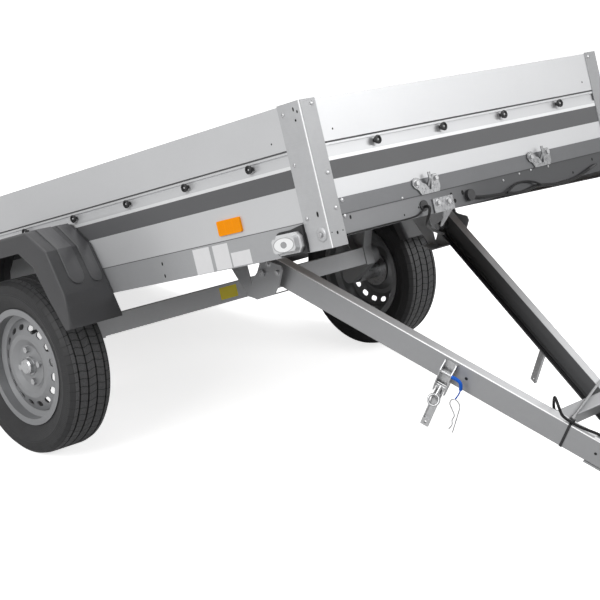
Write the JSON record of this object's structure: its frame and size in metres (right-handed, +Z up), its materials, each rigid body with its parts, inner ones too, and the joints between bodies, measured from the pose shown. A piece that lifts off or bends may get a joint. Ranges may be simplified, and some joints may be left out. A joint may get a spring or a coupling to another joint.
{
  "type": "utility trailer",
  "caption": "Single-axle utility trailer with a sheet-steel load bed that tips on its folding A-frame drawbar, a hinged tailgate, mudguards and tarp knobs.",
  "frame": {"origin": "on the ground, at the middle of the bounding box of the trailer as it parks with its bed tipped", "axes": "+X to the right as seen from in front of the coupling, -Y towards the coupling, +Z up"},
  "size_m": [1.7, 3.5064, 1.1988],
  "materials": {
    "galvanised": "smooth hot-dip galvanised sheet steel",
    "black_cable": "black cable sheath",
    "zinc_steel": "bright zinc",
    "black_plastic": "moulded black",
    "deck_plywood": "film-faced plywood, dark brown",
    "zinc_bolts": "bright zinc",
    "hub_steel": "zinc-coated",
    "lamp_lens": "clear on the front marker lamps, red on the rear lamps",
    "blue_cord": "blue plastic cord",
    "guard_plastic": "grained black-grey plastic",
    "wheel_silver": "silver-grey paint",
    "amber_reflector": "amber, prismatic",
    "tyre_rubber": "black road tyre"
  },
  "bodies": {
    "bed": {"axle_beam": "galvanised", "axle_bracket_left": "galvanised", "axle_bracket_right": "galvanised", "bed_wiring": "black_cable", "cable_jumper": "black_cable", "cross_members": "galvanised", "floor_deck": "deck_plywood", "front_cross_member": "galvanised", "front_fittings": "zinc_steel", "front_left_post": "galvanised", "front_lower_plank": "galvanised", "front_right_post": "galvanised", "front_strip": "galvanised", "front_upper_plank": "galvanised", "hinge_bracket_left": "galvanised", "hinge_bracket_right": "galvanised", "hinge_pins": "zinc_bolts", "lamp_housings": "black_plastic", "lamp_lenses": "lamp_lens", "left_lower_plank": "galvanised", "left_upper_plank": "galvanised", "mudguard_left": "guard_plastic", "mudguard_right": "guard_plastic", "rear_cross_member": "galvanised", "rear_hinge_knuckles": "galvanised", "rear_left_post": "galvanised", "rear_right_post": "galvanised", "right_lower_plank": "galvanised", "right_upper_plank": "galvanised", "side_member_left": "galvanised", "side_member_right": "galvanised", "side_reflectors": "amber_reflector", "swing_arm_left": "galvanised", "swing_arm_right": "galvanised", "tarp_knobs": "black_plastic", "wiring_fittings": "black_plastic"},
    "drawbar": {"coupling_head": "zinc_steel", "cross_tube": "galvanised", "drawbar_arm_left": "galvanised", "drawbar_arm_right": "galvanised", "drawbar_cable": "black_cable", "drawbar_latches": "zinc_steel", "drawbar_plug": "black_plastic", "drawbar_stay_rod": "zinc_steel", "latch_clip": "zinc_steel", "latch_lanyard": "blue_cord", "nose_plates": "galvanised"},
    "wheel_left": {"hub_left": "hub_steel", "rim_left": "wheel_silver", "tyre_left": "tyre_rubber", "wheel_bolts_left": "zinc_bolts"},
    "wheel_right": {"hub_right": "hub_steel", "rim_right": "wheel_silver", "tyre_right": "tyre_rubber", "wheel_bolts_right": "zinc_bolts"},
    "tailgate": {"tailgate_hinge_straps": "galvanised", "tailgate_knobs": "black_plastic", "tailgate_latches": "zinc_steel", "tailgate_lower_plank": "galvanised", "tailgate_upper_plank": "galvanised"}
  },
  "joints": [
    {"name": "wheel_left_spin", "type": "hinge", "parent": "bed", "child": "wheel_left", "pos_m": [-0.75, 0.34819, 0.272], "axis": [1, 0, 0], "continuous": true},
    {"name": "wheel_right_spin", "type": "hinge", "parent": "bed", "child": "wheel_right", "pos_m": [0.75, 0.34819, 0.272], "axis": [1, 0, 0], "continuous": true},
    {"name": "drawbar_hinge", "type": "hinge", "parent": "bed", "child": "drawbar", "pos_m": [0, -0.30643, 0.62807], "axis": [-1, 0, 0], "range_deg": [0, 41.4], "deforming": ["cable_jumper"]},
    {"name": "tailgate_hinge", "type": "hinge", "parent": "bed", "child": "tailgate", "pos_m": [0, 1.66349, 0.07206], "axis": [-1, 0, 0], "range_deg": [0, 84]}
  ]
}
